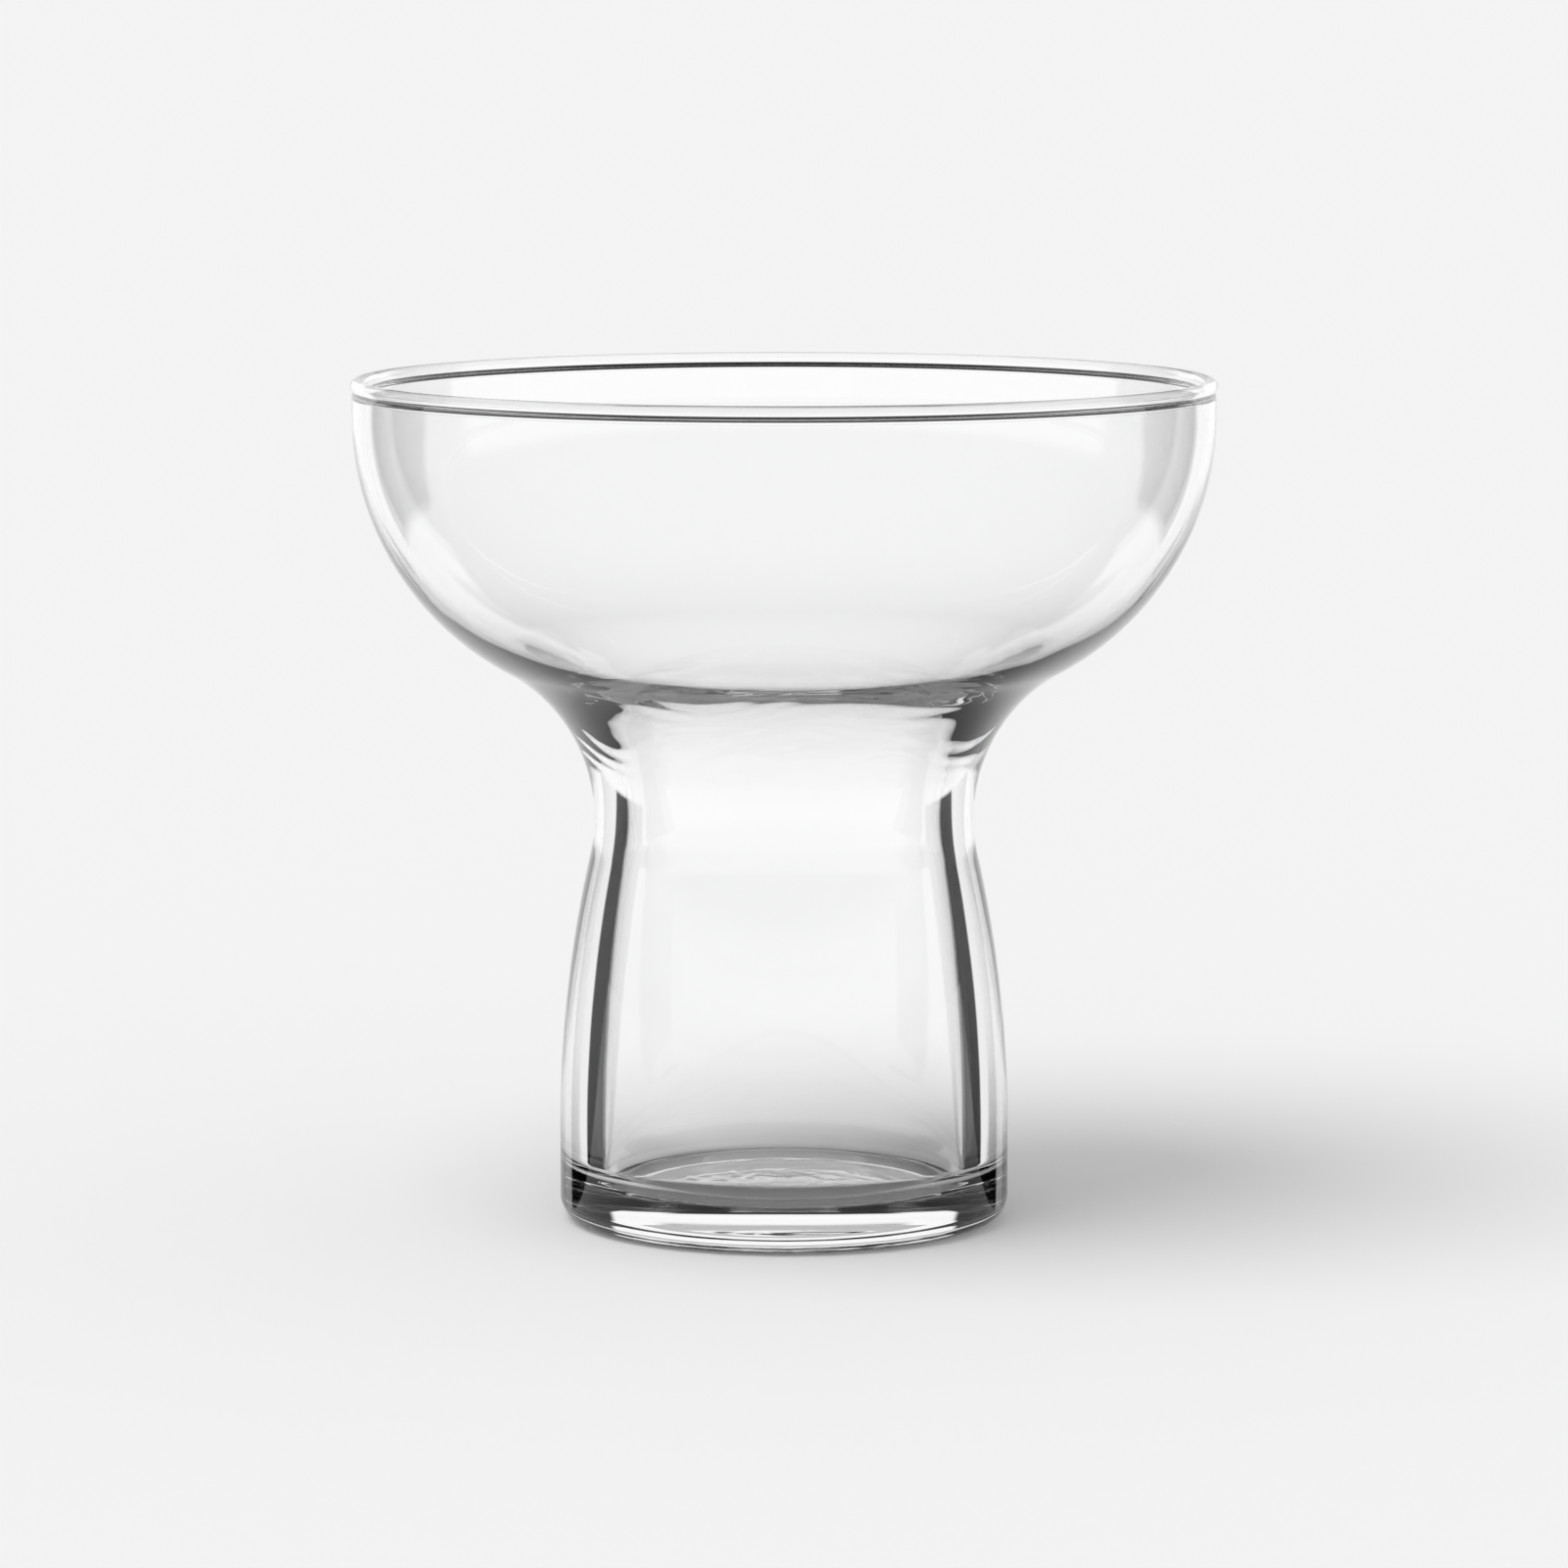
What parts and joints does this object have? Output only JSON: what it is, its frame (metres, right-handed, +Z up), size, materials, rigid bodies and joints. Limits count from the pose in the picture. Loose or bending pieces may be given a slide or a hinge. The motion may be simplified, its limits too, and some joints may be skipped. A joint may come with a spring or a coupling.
{
  "type": "margarita glass",
  "caption": "Stemless margarita glass with a wide round bowl on a thick hollow barrel foot, open from the rim down to a solid base.",
  "frame": {"origin": "centre of the ring that the glass stands on, in the plane of the table", "axes": "+Z up along the glass's axis of symmetry, from the base to the rim"},
  "size_m": [0.114, 0.114, 0.1117],
  "materials": {
    "glass": "clear, fire-polished soda-lime glass"
  },
  "bodies": {
    "root": {"rim": "glass", "bowl": "glass", "neck": "glass", "barrel": "glass", "base": "glass"}
  },
  "joints": []
}
